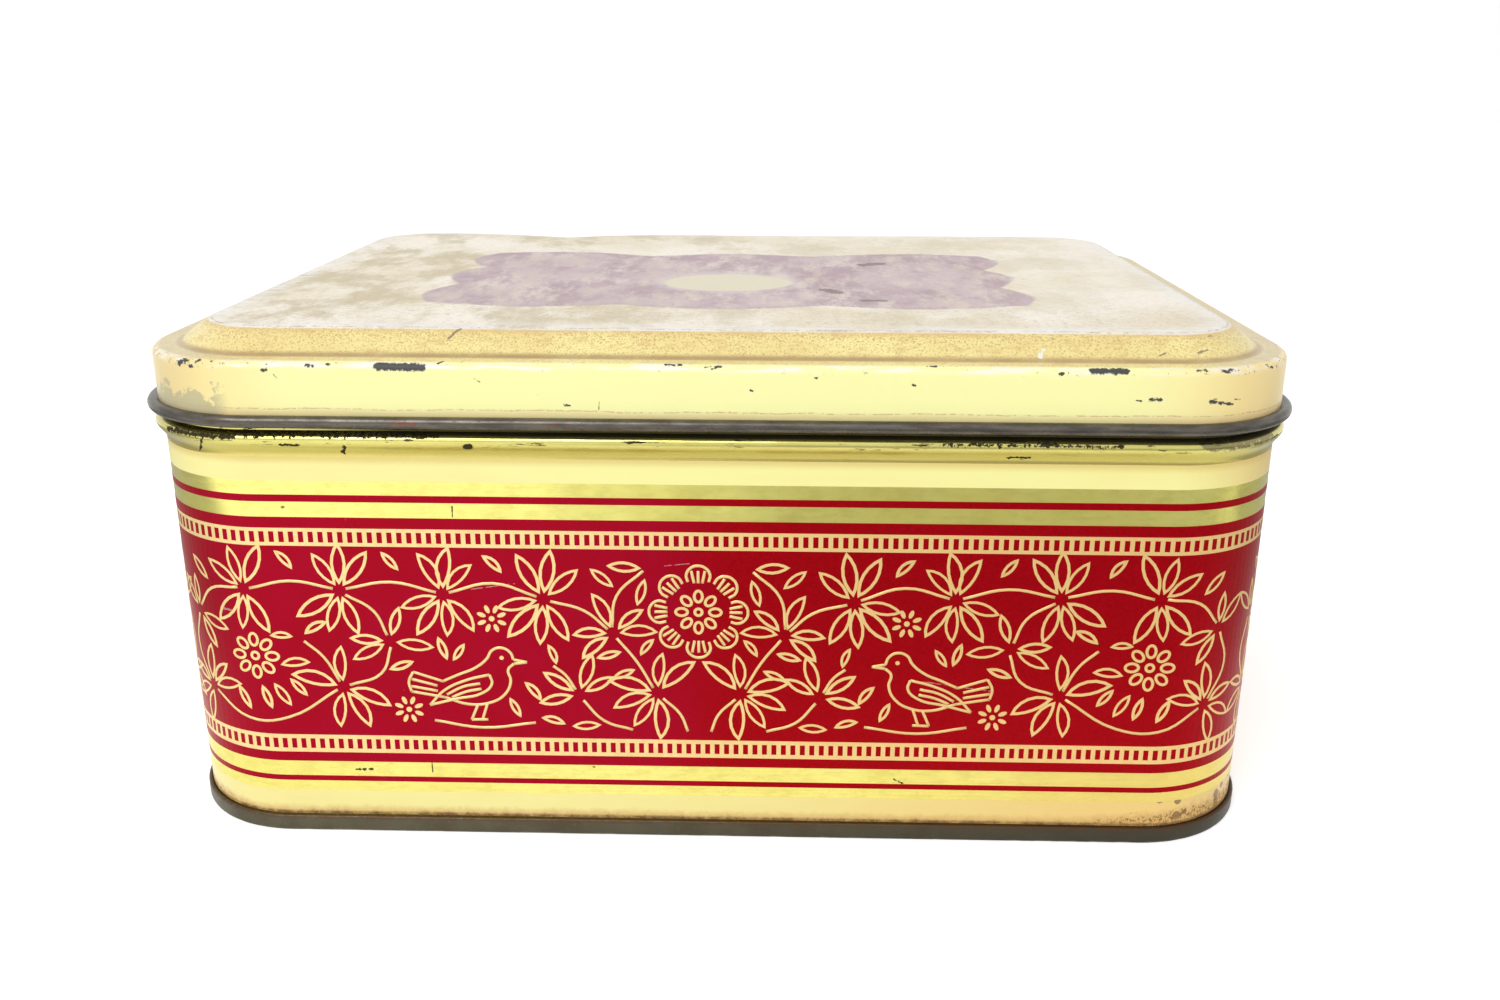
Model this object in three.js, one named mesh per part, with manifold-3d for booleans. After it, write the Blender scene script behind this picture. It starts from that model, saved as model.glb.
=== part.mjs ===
// Tinplate box with a lift-off lid, for papers and keepsakes.
// One strip of sheet is wrapped into the wall, a base is seamed round its lower edge, and a lid
// pressed from one sheet slips over the neck of the wall.
// Millimetres, +Z up. The origin is on the ground under the middle, and the front faces -Y.

import * as THREE from 'three';
import Module from 'manifold-3d';

// The wall, measured outside
const wallLength = 210;
const wallDepth = 155;
const cornerRadius = 23;

// The sheet that every piece is pressed from
const tinplate = 0.25;

// The lid: the height of its ledge, its raised crown, and the skirt that hangs round the neck
const ledgeHeight = 92.9;
const ledgeWidth = 4.9;
const slopeWidth = 5.6;
const crownRise = 4.3;
const crownBend = 4;
const creaseBend = 1.6;
const edgeBend = 1.4;
const skirtDrop = 11.7;
const lidCurl = 2.2;

// How the lid sits: the play round the neck, and the space under the ledge
const lidPlay = 0.4;
const lidSeat = 0.3;

// The safe upper edge of the wall, and the swelling below it that stops the lid
const neckCurl = 2;
const beadMiddle = 78;
const beadHeight = 4.8;
const beadReach = 1.6;

// The base: the rolled seam that the box stands on, and the floor that it carries
const seamHeight = 3.2;
const seamGap = 0.05;
const seamBend = 0.3;
const hookSpare = 0.4;
const floorHeight = 3.5;
const floorBend = 0.9;
const panelInset = 9;
const panelSlope = 1.6;
const panelDrop = 0.8;
const panelBend = 0.8;

// The lock that closes the strip, down the middle of the back
const lockWidth = 5;
const lockLayers = 4;
const lockMargin = 1.2;
const grooveWidth = 0.3;
const grooveDepth = 0.1;
const cutOverrun = 1;

// A rolled edge turns this far round, and ends just short of itself
const curlTurn = Math.PI * 5 / 3;

// How finely the round stretches are divided
const cornerSteps = 10;
const beadSteps = 8;
const curlStep = Math.PI / 6;
const seamStep = Math.PI / 4;
const roundingShare = 1e-6;

// Layers of the base seam. Each is one sheet and one gap further out than the one before, and a
// line is the middle of a layer: the chuck wall of the base, the wall, the base's own hook, the
// hook of the wall, and the outer face of the base.
const layer = tinplate + seamGap;
const wallLine = -tinplate / 2;
const chuckLine = wallLine - layer;
const baseHookLine = wallLine + layer;
const wallHookLine = wallLine + layer * 2;
const seamFaceLine = wallLine + layer * 3;

// A horizontal loop round the box, standing off the outer face of the wall by an offset
function loop(offset) {
  const radius = cornerRadius + offset;
  const points = [];
  for (let quarter = 0; quarter < 4; quarter += 1) {
    const sideX = quarter === 0 || quarter === 3 ? 1 : -1;
    const sideY = quarter < 2 ? 1 : -1;
    for (let step = 0; step <= cornerSteps; step += 1) {
      const angle = (quarter + step / cornerSteps) * Math.PI / 2;
      points.push([
        sideX * (wallLength / 2 - cornerRadius) + radius * Math.cos(angle),
        sideY * (wallDepth / 2 - cornerRadius) + radius * Math.sin(angle),
      ]);
    }
  }
  return points;
}

// A route is the middle line of a bent sheet, seen in section: each point is an offset from the
// wall and a height. This stretch of a route runs round a centre, from one angle to another.
function arc([offset, height], radius, from, to, largestStep) {
  const steps = Math.ceil(Math.abs(to - from) / largestStep - roundingShare);
  const points = [];
  for (let step = 0; step <= steps; step += 1) {
    const angle = from + (to - from) * step / steps;
    points.push([offset + radius * Math.cos(angle), height + radius * Math.sin(angle)]);
  }
  return points;
}

// The bend that takes a route round a corner, on its way from one point to another
function bend(before, corner, after, radius, largestStep) {
  const at = new THREE.Vector2(...corner);
  const back = new THREE.Vector2(...before).sub(at).normalize();
  const on = new THREE.Vector2(...after).sub(at).normalize();
  const half = Math.acos(back.dot(on)) / 2;
  const centre = back.clone().add(on).setLength(radius / Math.sin(half)).add(at);
  const start = at.clone().addScaledVector(back, radius / Math.tan(half)).sub(centre).angle();
  const end = at.clone().addScaledVector(on, radius / Math.tan(half)).sub(centre).angle();
  const turn = THREE.MathUtils.euclideanModulo(end - start + Math.PI, Math.PI * 2) - Math.PI;
  return arc([centre.x, centre.y], radius, start, start + turn, largestStep);
}

// The outline of a sheet that follows a route: out along the right of the route and back along
// its left, with mitred corners
function sheetOutline(route) {
  const right = [];
  const left = [];
  route.forEach((point, index) => {
    const here = new THREE.Vector2(...point);
    const before = new THREE.Vector2(...route[Math.max(index - 1, 0)]);
    const after = new THREE.Vector2(...route[Math.min(index + 1, route.length - 1)]);
    const into = here.clone().sub(before).normalize();
    const out = after.clone().sub(here).normalize();
    const first = index === 0 ? out : into;
    const second = index === route.length - 1 ? into : out;
    const normal = new THREE.Vector2(first.y + second.y, -first.x - second.x).normalize();
    const reach = tinplate / 2 / (normal.x * first.y - normal.y * first.x);
    right.push([here.x + normal.x * reach, here.y + normal.y * reach]);
    left.push([here.x - normal.x * reach, here.y - normal.y * reach]);
  });
  return right.concat(left.reverse());
}

// Sweeps an outline round the box. A closed outline makes a ring. An open one starts and ends
// on a flat, which is filled in across the box, and makes a tray or a cover.
function sweep(outline, closed) {
  const rings = outline.map(([offset, height]) => loop(offset).map(([x, y]) => [x, y, height]));
  const around = rings[0].length;
  const positions = rings.flat(2);
  const index = [];
  const bands = closed ? rings.length : rings.length - 1;
  for (let band = 0; band < bands; band += 1) {
    const next = (band + 1) % rings.length;
    for (let step = 0; step < around; step += 1) {
      const turn = (step + 1) % around;
      const low = [band * around + step, band * around + turn];
      const high = [next * around + step, next * around + turn];
      index.push(low[0], low[1], high[1], low[0], high[1], high[0]);
    }
  }
  if (!closed) {
    fillFlat(positions, index, 0, around, outline[0][1], true);
    fillFlat(positions, index, (rings.length - 1) * around, around, outline.at(-1)[1], false);
  }
  const geometry = new THREE.BufferGeometry();
  geometry.setAttribute('position', new THREE.Float32BufferAttribute(positions, 3));
  geometry.setIndex(index);
  return geometry;
}

// Fills a loop of the swept sheet with flat triangles that meet over the middle of the box
function fillFlat(positions, index, start, around, height, facesDown) {
  const centre = positions.length / 3;
  positions.push(0, 0, height);
  for (let step = 0; step < around; step += 1) {
    const edge = [start + step, start + (step + 1) % around];
    if (facesDown) {
      edge.reverse();
    }
    index.push(centre, ...edge);
  }
}

// The wall: a strip whose upper edge is rolled inwards, that swells to stop the lid, and whose
// lower edge is turned out and up, to be held by the seam of the base
function wallRing() {
  const radius = (neckCurl - tinplate) / 2;
  const top = ledgeHeight - tinplate - lidSeat;
  const rolledEdge = arc([wallLine - radius, top - neckCurl / 2], radius, curlTurn, 0, curlStep);
  const bead = [];
  for (let step = 0; step <= beadSteps; step += 1) {
    const share = step / beadSteps;
    bead.push([
      wallLine + beadReach * Math.sin(Math.PI * share) ** 2,
      beadMiddle + beadHeight * (1 / 2 - share),
    ]);
  }
  const turnMiddle = [baseHookLine, tinplate + seamGap + tinplate / 2 + layer];
  const turnedEdge = arc(turnMiddle, layer, Math.PI, Math.PI * 2, seamStep);
  const hookEnd = [wallHookLine, seamHeight - layer - hookSpare];
  return sweep(sheetOutline([...rolledEdge, ...bead, ...turnedEdge, hookEnd]), true);
}

// The base: a floor with a pressed panel, a chuck wall that goes down inside the wall, and an
// edge that is rolled up and over the hook of the wall, in five layers
function baseTray() {
  const floorLine = floorHeight - tinplate / 2;
  const panelLine = floorLine - panelDrop;
  const panelEdge = chuckLine - panelInset;
  const middle = [panelEdge - panelSlope - panelInset, panelLine];
  const panelFoot = [panelEdge - panelSlope, panelLine];
  const panelHead = [panelEdge, floorLine];
  const floorEdge = [chuckLine, floorLine];
  const innerFoot = [chuckLine, tinplate / 2];
  const outerFoot = [seamFaceLine, tinplate / 2];
  const rollMiddle = [wallHookLine, seamHeight - tinplate / 2 - layer];
  return sweep(sheetOutline([
    middle,
    ...bend(middle, panelFoot, panelHead, panelBend, seamStep),
    ...bend(panelFoot, panelHead, floorEdge, panelBend, seamStep),
    ...bend(panelHead, floorEdge, innerFoot, floorBend, seamStep),
    ...bend(floorEdge, innerFoot, outerFoot, seamBend, seamStep),
    ...bend(innerFoot, outerFoot, rollMiddle, seamBend, seamStep),
    ...arc(rollMiddle, layer, 0, Math.PI, seamStep),
    [baseHookLine, layer * 2 + hookSpare],
  ]), false);
}

// The lid: a flat crown that slopes down to a ledge, and a skirt whose lower edge is rolled
// outwards into a hollow bead
function lidCover() {
  const ledgeLine = ledgeHeight - tinplate / 2;
  const skirtLine = lidPlay + tinplate / 2;
  const creaseOffset = lidPlay + tinplate - ledgeWidth;
  const radius = (lidCurl - tinplate) / 2;
  const curlMiddle = [skirtLine + radius, ledgeHeight - skirtDrop + lidCurl / 2];
  const crown = [creaseOffset - slopeWidth, ledgeLine + crownRise];
  const middle = [crown[0] - crownBend, crown[1]];
  const crease = [creaseOffset, ledgeLine];
  const edge = [skirtLine, ledgeLine];
  const skirtEnd = [skirtLine, curlMiddle[1]];
  return sweep(sheetOutline([
    middle,
    ...bend(middle, crown, crease, crownBend, curlStep),
    ...bend(crown, crease, edge, creaseBend, curlStep),
    ...bend(crease, edge, skirtEnd, edgeBend, curlStep),
    ...arc(curlMiddle, radius, Math.PI, Math.PI + curlTurn, curlStep),
  ]), false);
}

const wasm = await Module();
wasm.setup();

// Turns closed geometry into a solid that can be joined and cut
function solid(geometry) {
  const source = geometry.getAttribute('position');
  const places = new Map();
  const vertices = [];
  const shared = [];
  for (let corner = 0; corner < source.count; corner += 1) {
    const point = [source.getX(corner), source.getY(corner), source.getZ(corner)];
    const place = point.join(' ');
    if (!places.has(place)) {
      places.set(place, places.size);
      vertices.push(...point);
    }
    shared.push(places.get(place));
  }
  const triVerts = Uint32Array.from(geometry.getIndex().array, (corner) => shared[corner]);
  const vertProperties = Float32Array.from(vertices);
  return new wasm.Manifold(new wasm.Mesh({ numProp: 3, vertProperties, triVerts }));
}

// Turns a solid back into geometry
function surface(body) {
  const mesh = body.getMesh();
  const geometry = new THREE.BufferGeometry();
  geometry.setAttribute('position', new THREE.Float32BufferAttribute(mesh.vertProperties, 3));
  geometry.setIndex(Array.from(mesh.triVerts));
  return geometry;
}

// A straight upright bar between two corners
function bar(low, high) {
  const size = high.map((value, axis) => value - low[axis]);
  const middle = high.map((value, axis) => (value + low[axis]) / 2);
  return new THREE.BoxGeometry(...size).translate(...middle);
}

// Closes the strip with its lock: the two ends of the sheet are folded into each other, which
// leaves a flat bar inside the wall and a fine groove outside it
function lockedWall() {
  const back = wallDepth / 2;
  const foot = floorHeight + lockMargin;
  const head = beadMiddle - beadHeight / 2 - lockMargin;
  const fold = bar(
    [-lockWidth / 2, back - tinplate * lockLayers, foot],
    [lockWidth / 2, back - tinplate / 2, head],
  );
  const groove = bar(
    [-lockWidth / 2 - grooveWidth / 2, back - grooveDepth, foot],
    [-lockWidth / 2 + grooveWidth / 2, back + cutOverrun, head],
  );
  return surface(solid(wallRing()).add(solid(fold)).subtract(solid(groove)));
}

// A named piece with the finish of its sheet
function piece(name, geometry, color, roughness, metalness) {
  const material = new THREE.MeshStandardMaterial({ color, roughness, metalness });
  material.flatShading = true;
  const mesh = new THREE.Mesh(geometry, material);
  mesh.name = name;
  return mesh;
}

const tinBox = new THREE.Group();
tinBox.add(
  piece('body_wall', lockedWall(), 0xa51226, 0.35, 0.3),
  piece('base_plate', baseTray(), 0x605c4b, 0.45, 0.7),
  piece('lid', lidCover(), 0xf3e6a4, 0.4, 0.2),
);

export default tinBox;
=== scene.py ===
import math

import bpy
from mathutils import Euler, Matrix, Vector


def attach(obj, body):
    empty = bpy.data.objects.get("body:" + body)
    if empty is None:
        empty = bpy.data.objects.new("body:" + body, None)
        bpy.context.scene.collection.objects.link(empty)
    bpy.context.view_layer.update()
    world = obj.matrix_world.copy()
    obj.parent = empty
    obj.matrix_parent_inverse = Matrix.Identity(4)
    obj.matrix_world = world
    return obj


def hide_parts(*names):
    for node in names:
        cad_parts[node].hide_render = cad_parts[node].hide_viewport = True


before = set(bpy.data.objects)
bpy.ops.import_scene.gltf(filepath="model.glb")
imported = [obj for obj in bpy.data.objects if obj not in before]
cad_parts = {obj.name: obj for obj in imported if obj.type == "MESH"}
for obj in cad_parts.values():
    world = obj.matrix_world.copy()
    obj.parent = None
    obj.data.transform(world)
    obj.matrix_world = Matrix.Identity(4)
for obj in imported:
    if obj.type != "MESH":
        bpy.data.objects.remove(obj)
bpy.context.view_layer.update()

# Camera
# It stands in front of the box, a little to the right of its middle, and looks down on the lid.
# Its lens and place were worked out from the straight edges of the box.
picture_width = 1500
lens_in_pixels = 1344.2
sensor_width = 36.0
camera_place = Vector((0.01239, -0.3050, 0.14318))
camera_pitch = math.radians(18.2)
camera_heading = math.radians(1.36)
camera_roll = math.radians(0.19)

bpy.ops.object.camera_add(location=camera_place)
camera = bpy.context.object
camera.name = "camera"
camera.data.sensor_width = sensor_width
camera.data.lens = sensor_width * lens_in_pixels / picture_width
looking = Euler((math.pi / 2 - camera_pitch, 0, camera_heading)).to_matrix()
camera.rotation_euler = (looking @ Matrix.Rotation(camera_roll, 3, "Z")).to_euler()
bpy.context.scene.camera = camera
bpy.context.scene.view_settings.view_transform = "Standard"

# Floor, sky and lamps
# A white table top, a white sky that is softer at both sides, and one broad lamp high up on the
# left. Grey cards lie in front of the box on the right and at its sides, where only its shine shows
# them. Each card has a name, a size, a middle, how dark it is, and where it fades in.
floor_size = 6.0
floor_white = 0.93
floor_glow = 0.42
sky_light = 0.80
side_light = 0.25
side_turn = (0.55, 0.95)
lamp_place = Vector((-0.50, -0.90, 1.15))
lamp_size = 0.9
lamp_watts = 8.0
front_card = ("front_card", (1.4, 1.2), (0.60, -0.69), 0.56, (("X", -0.10, 0.03), ("Y", -0.12, -0.19)))
side_cards = ("side_cards", (1.6, 0.45), (0.0, 0.035), 0.60,
              (("aside", 0.14, 0.22), ("Y", -0.19, -0.12), ("Y", 0.26, 0.16)))
card_height = 0.0004


class Value:
    """What a node gives. It can be added, taken away, multiplied and divided like a number."""

    def __init__(self, socket):
        self.socket = socket
        self.tree = socket.id_data

    def __add__(self, other):
        return calculate("ADD", self, other)

    def __sub__(self, other):
        return calculate("SUBTRACT", self, other)

    def __rsub__(self, other):
        return calculate("SUBTRACT", other, self)

    def __mul__(self, other):
        return calculate("MULTIPLY", self, other)

    def __truediv__(self, other):
        return calculate("DIVIDE", self, other)

    def __abs__(self):
        return calculate("ABSOLUTE", self)


def fill(node, values):
    """Fills the inputs of a node with numbers and colours, or with what feeds them."""
    for name, value in values.items():
        if isinstance(value, Value):
            node.id_data.links.new(value.socket, node.inputs[name])
        else:
            node.inputs[name].default_value = value


def add_node(tree, kind, values=None, **settings):
    """Adds a node, sets it up and fills its inputs."""
    node = tree.nodes.new("ShaderNode" + kind)
    for name, setting in settings.items():
        setattr(node, name, setting)
    fill(node, values or {})
    return node


def calculate(operation, *values, output=0):
    """Works out a sum, a product or the like, of numbers or of places."""
    fed = [value for value in values if isinstance(value, Value)]
    kind = "VectorMath" if any(value.socket.type == "VECTOR" for value in fed) else "Math"
    node = add_node(fed[0].tree, kind, dict(enumerate(values)), operation=operation)
    return Value(node.outputs[output])


def higher(first, second):
    """Gives the higher one of two values."""
    return calculate("MAXIMUM", first, second)


def lower(first, second):
    """Gives the lower one of two values."""
    return calculate("MINIMUM", first, second)


def ramp(value, low, high, start=0.0, end=1.0):
    """Turns a value into a share that rises from low to high, or falls where high is the lower."""
    return Value(add_node(value.tree, "MapRange", {"Value": value, "From Min": low, "From Max": high,
                                                   "To Min": start, "To Max": end},
                          interpolation_type="SMOOTHSTEP").outputs[0])


def split(place):
    """Gives the three parts of a place."""
    return [Value(part) for part in add_node(place.tree, "SeparateXYZ", {0: place}).outputs]


def new_paint(name):
    """Starts a material and returns it with its shader."""
    paint = bpy.data.materials.new(name)
    paint.use_nodes = True
    return paint, paint.node_tree.nodes["Principled BSDF"]


def seen_straight(tree):
    """Tells whether the background is seen by eye, in a shine or through glass."""
    rays = add_node(tree, "LightPath").outputs
    return higher(Value(rays["Is Camera Ray"]),
                  higher(Value(rays["Is Glossy Ray"]), Value(rays["Is Transmission Ray"])))


def show_mix(tree, share, first, second):
    """Makes the surface a mix of two shaders."""
    mixed = add_node(tree, "MixShader", {0: share, 1: Value(first.outputs[0]), 2: Value(second.outputs[0])})
    fill(tree.nodes["Material Output"], {"Surface": Value(mixed.outputs[0])})


def settle():
    """Makes the place, turn and scale of what is selected part of its mesh."""
    bpy.ops.object.transform_apply(location=True, rotation=True, scale=True)


bpy.ops.mesh.primitive_plane_add(size=floor_size)
floor = bpy.context.object
floor.name = "floor"
floor_paint, shader = new_paint("floor_paint")
nodes = shader.id_data
fill(shader, {"Base Color": (floor_white, floor_white, floor_white, 1), "Roughness": 1.0,
              "Specular IOR Level": 0.0})
glow = add_node(nodes, "Emission", {"Color": (1, 1, 1, 1), "Strength": floor_glow})
lit = add_node(nodes, "AddShader", {0: Value(shader.outputs[0]), 1: Value(glow.outputs[0])})
show_mix(nodes, seen_straight(nodes), shader, lit)
floor.data.materials.append(floor_paint)

world = bpy.context.scene.world or bpy.data.worlds.new("world")
bpy.context.scene.world = world
world.use_nodes = True
nodes = world.node_tree
sideways = abs(split(Value(add_node(nodes, "TexCoord").outputs["Generated"]))[0])
soft = ramp(sideways, *side_turn, sky_light, side_light)
fill(nodes.nodes["Background"], {"Color": (1, 1, 1, 1),
                                 "Strength": soft + seen_straight(nodes) * (1.0 - soft)})

bpy.ops.object.light_add(type="AREA", location=lamp_place)
lamp = bpy.context.object
lamp.name = "lamp"
lamp.data.shape = "DISK"
lamp.data.size = lamp_size
lamp.data.energy = lamp_watts
lamp.rotation_euler = (-lamp_place).to_track_quat("-Z", "Y").to_euler()

for name, size, middle, share, fades in (front_card, side_cards):
    bpy.ops.mesh.primitive_plane_add(size=1, location=(*middle, card_height))
    card = bpy.context.object
    card.name = name
    card.scale = (*size, 1)
    settle()
    card.visible_camera = card.visible_diffuse = card.visible_shadow = False
    card.visible_transmission = False
    card_paint, shader = new_paint(name + "_paint")
    nodes = shader.id_data
    along, across, _ = split(Value(add_node(nodes, "TexCoord").outputs["Object"]))
    ways = {"X": along, "Y": across, "aside": abs(along)}
    for way, start, end in fades:
        share = ramp(ways[way], start, end) * share
    dark = add_node(nodes, "Emission", {"Color": (0, 0, 0, 1)})
    show_mix(nodes, share, add_node(nodes, "BsdfTransparent"), dark)
    card.data.materials.append(card_paint)

# Wall
# One strip of tinplate, drawn flat and then wrapped round the box, as the maker does it. Its upper
# edge is rolled inwards, a bead below that stops the lid, and its lower edge is a hook for the base.
# The lock at the back is a bar of folded sheet on the inside.
mm = 0.001
half_length = 0.105
half_depth = 0.0775
corner_radius = 0.023
tinplate = 0.00025
seam_gap = 0.00005
layer = tinplate + seam_gap
wall_line = -tinplate / 2
wall_top = 0.09235
neck_curl = 0.002
bead_middle = 0.078
bead_height = 0.0048
bead_reach = 0.0016
bead_lean = 0.58
bead_steps = 20
seam_height = 0.0032
hook_spare = 0.0004
hook_line = wall_line + layer
hook_end_line = wall_line + layer * 2
curl_turn = math.radians(300)
curl_steps = 20
bend_steps = 6
front_run = 2 * (half_length - corner_radius)
side_run = 2 * (half_depth - corner_radius)
corner_run = corner_radius * math.pi / 2
half_around = front_run + side_run + corner_run * 2
corner_steps = 24
run_step = 0.012
lock_gap = 0.0001
lock_width = 0.005
lock_depth = 0.001
lock_foot = 0.0047
lock_head = 0.0744
lock_round = 3
smooth_turn = math.radians(40)


def open_mesh():
    """Opens the mesh in hand for editing."""
    bpy.ops.object.mode_set(mode="EDIT")


def close_mesh():
    """Closes the mesh in hand."""
    bpy.ops.object.mode_set(mode="OBJECT")


def take_up(piece, edit=False):
    """Selects one piece and nothing else, and opens the whole of it for editing if wanted."""
    if bpy.context.object and bpy.context.object.mode != "OBJECT":
        close_mesh()
    bpy.ops.object.select_all(action="DESELECT")
    piece.select_set(True)
    bpy.context.view_layer.objects.active = piece
    if edit:
        open_mesh()
        bpy.ops.mesh.select_all(action="SELECT")


def modify(piece, kind, **settings):
    """Puts a modifier on a piece and applies it."""
    bpy.context.view_layer.objects.active = piece
    modifier = piece.modifiers.new("change", kind)
    for name, setting in settings.items():
        setattr(modifier, name, setting)
    bpy.ops.object.modifier_apply(modifier=modifier.name)


def join_pieces(name, pieces):
    """Joins pieces to the first one, which keeps its materials and takes the name."""
    take_up(pieces[0])
    for piece in pieces[1:]:
        piece.select_set(True)
    bpy.ops.object.join()
    pieces[0].name = name
    pieces[0].data.name = name
    return pieces[0]


def start_section(name, place, along):
    """Starts the section of a sheet as one point. Its place is a stand-off from the wall and a height."""
    bpy.ops.object.select_all(action="DESELECT")
    bpy.ops.mesh.primitive_plane_add(size=tinplate, location=(along, -half_depth - place.x, place.y))
    piece = bpy.context.object
    piece.name = name
    piece.data.name = name
    settle()
    open_mesh()
    bpy.ops.mesh.select_mode(type="VERT")
    bpy.ops.mesh.merge(type="CENTER")
    return piece


def run_section(place, end):
    """Draws the section straight on to its next place."""
    step = end - place
    bpy.ops.mesh.extrude_region_move(TRANSFORM_OT_translate={"value": (0, -step.x, step.y)})
    return end


def turn_section(place, middle, turn, steps):
    """Draws the section on round a middle. A positive turn goes from outwards to upwards."""
    centre = (0, -half_depth - middle.x, middle.y)
    bpy.ops.mesh.spin(steps=steps, angle=turn, center=centre, axis=(1, 0, 0))
    arm = place - middle
    return middle + Vector((arm.x * math.cos(turn) - arm.y * math.sin(turn),
                            arm.x * math.sin(turn) + arm.y * math.cos(turn)))


def bend_section(place, corner, after, bend):
    """Draws the section on to a corner and round it, so that it heads for the place after it."""
    coming = (corner - place).normalized()
    going = (after - corner).normalized()
    turn = math.atan2(coming.x * going.y - coming.y * going.x, coming.dot(going))
    start = corner - coming * bend * math.tan(abs(turn) / 2)
    side = Vector((-coming.y, coming.x)) * math.copysign(bend, turn)
    if (start - place).length > seam_gap / 10:
        run_section(place, start)
    return turn_section(start, start + side, turn, bend_steps)


def follow_bends(place, corners, bends):
    """Draws the section round its corners, each with its own bend, towards the last one."""
    for corner, after, bend in zip(corners, corners[1:], bends):
        place = bend_section(place, corner, after, bend)
    return place


def lay_out(bare_end=0.0):
    """Carries the section along, to make the whole flat strip but for what is bare at each end."""
    bpy.ops.mesh.select_all(action="SELECT")
    half_front = front_run / 2
    end = (half_front - bare_end, round(half_front / run_step))
    corner = (corner_run, corner_steps)
    side = (side_run, round(side_run / run_step))
    front = (front_run, round(front_run / run_step))
    for run, steps in (end, corner, side, corner, front, corner, side, corner, end):
        for _ in range(steps):
            bpy.ops.mesh.extrude_region_move(TRANSFORM_OT_translate={"value": (run / steps, 0, 0)})
    close_mesh()


def keep_flat_places(piece):
    """Notes where each point lies on the flat strip, for the print and its wear to follow."""
    places = [value for point in piece.data.vertices for value in point.co]
    note = piece.data.attributes.new("flat", "FLOAT_VECTOR", "POINT")
    note.data.foreach_set("vector", places)


def shift(piece, along, across):
    """Moves the whole mesh of a piece."""
    take_up(piece, edit=True)
    bpy.ops.transform.translate(value=(along, across, 0))
    close_mesh()


def wrap_round(piece):
    """Bends the flat strip round the four corners of the box, the two at the back first."""
    for start in (front_run / 2 + corner_run + side_run, front_run / 2):
        for side in (1, -1):
            shift(piece, -side * start, half_depth)
            along = [point.co.x for point in piece.data.vertices]
            low, high = min(along), max(along)
            near, far = sorted((0, side * corner_run))
            near, far = max(near, low), min(far, high)
            if far > near:
                modify(piece, "SIMPLE_DEFORM", deform_method="BEND", deform_axis="Z",
                       limits=((near - low) / (high - low), (far - low) / (high - low)),
                       angle=(far - near) / corner_radius)
            shift(piece, side * start, -half_depth)


def thicken(piece):
    """Gives the sheet its thickness, half to each side of the line that was drawn."""
    modify(piece, "SOLIDIFY", thickness=tinplate, offset=0, use_even_offset=True, material_offset=1)


def face_outwards(piece):
    """Turns every face of a closed piece outwards."""
    take_up(piece, edit=True)
    bpy.ops.mesh.normals_make_consistent(inside=False)
    close_mesh()


curl_radius = (neck_curl - tinplate) / 2
curl_middle = Vector((wall_line - curl_radius, wall_top - neck_curl / 2))
curl_start = curl_middle + Vector((math.cos(curl_turn), math.sin(curl_turn))) * curl_radius
hook_middle = Vector((hook_line, tinplate * 1.5 + seam_gap + layer))
wall = start_section("wall_strip", curl_start, lock_gap / 2 - half_around)
place = turn_section(curl_start, curl_middle, -curl_turn, curl_steps)
place = run_section(place, Vector((wall_line, bead_middle + bead_height / 2)))
for step in range(1, bead_steps + 1):
    share = step / bead_steps
    swell = bead_reach * math.sin(math.pi * share ** bead_lean) ** 2
    place = run_section(place, Vector((wall_line + swell, bead_middle + bead_height * (1 / 2 - share))))
place = run_section(place, Vector((wall_line, hook_middle.y)))
place = turn_section(place, hook_middle, math.pi, bend_steps)
run_section(place, Vector((hook_end_line, seam_height - layer - hook_spare)))
lay_out(lock_gap / 2)
keep_flat_places(wall)
wrap_round(wall)
face_outwards(wall)


def cloud(place, scale, detail=4, roughness=0.55):
    """Gives an even random cloud, from 0 to 1."""
    return Value(add_node(place.tree, "TexNoise", {"Vector": place, "Scale": scale, "Detail": detail,
                                                   "Roughness": roughness}).outputs["Fac"])


def stain(first, share, second):
    """Lays a second colour over the first one, as far as its share goes."""
    first, second = ((*color, 1) if isinstance(color, tuple) else color for color in (first, second))
    return Value(add_node(share.tree, "Mix", {0: share, 6: first, 7: second}, data_type="RGBA").outputs[2])


def relief(height, strength, distance):
    """Turns a height into the direction that the surface faces."""
    return Value(add_node(height.tree, "Bump", {"Height": height, "Strength": strength,
                                                "Distance": distance}).outputs[0])


def flat_place(shader):
    """Gives the place on the flat strip, in millimetres."""
    note = add_node(shader.id_data, "Attribute", attribute_name="flat")
    return Value(note.outputs["Vector"]) * (1 / mm, 1 / mm, 1 / mm)


def box_place(shader):
    """Gives the place on the box, in millimetres."""
    note = add_node(shader.id_data, "TexCoord")
    return Value(note.outputs["Object"]) * (1 / mm, 1 / mm, 1 / mm)


def start_group(name, inputs, gives):
    """Starts a group of nodes that works out one value, and returns it with what it is given."""
    group = bpy.data.node_groups.new(name, "ShaderNodeTree")
    for socket, kind in inputs.items():
        group.interface.new_socket(socket, in_out="INPUT", socket_type="NodeSocket" + kind)
    group.interface.new_socket(gives, in_out="OUTPUT", socket_type="NodeSocketFloat")
    given = group.nodes.new("NodeGroupInput").outputs
    return group, [Value(given[socket]) for socket in inputs]


def end_group(group, value):
    """Says what the group gives."""
    group.links.new(value.socket, group.nodes.new("NodeGroupOutput").inputs[0])


def use_group(group, values):
    """Works out a group for a place."""
    return Value(add_node(values["Place"].tree, "Group", values, node_tree=group).outputs[0])


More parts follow.
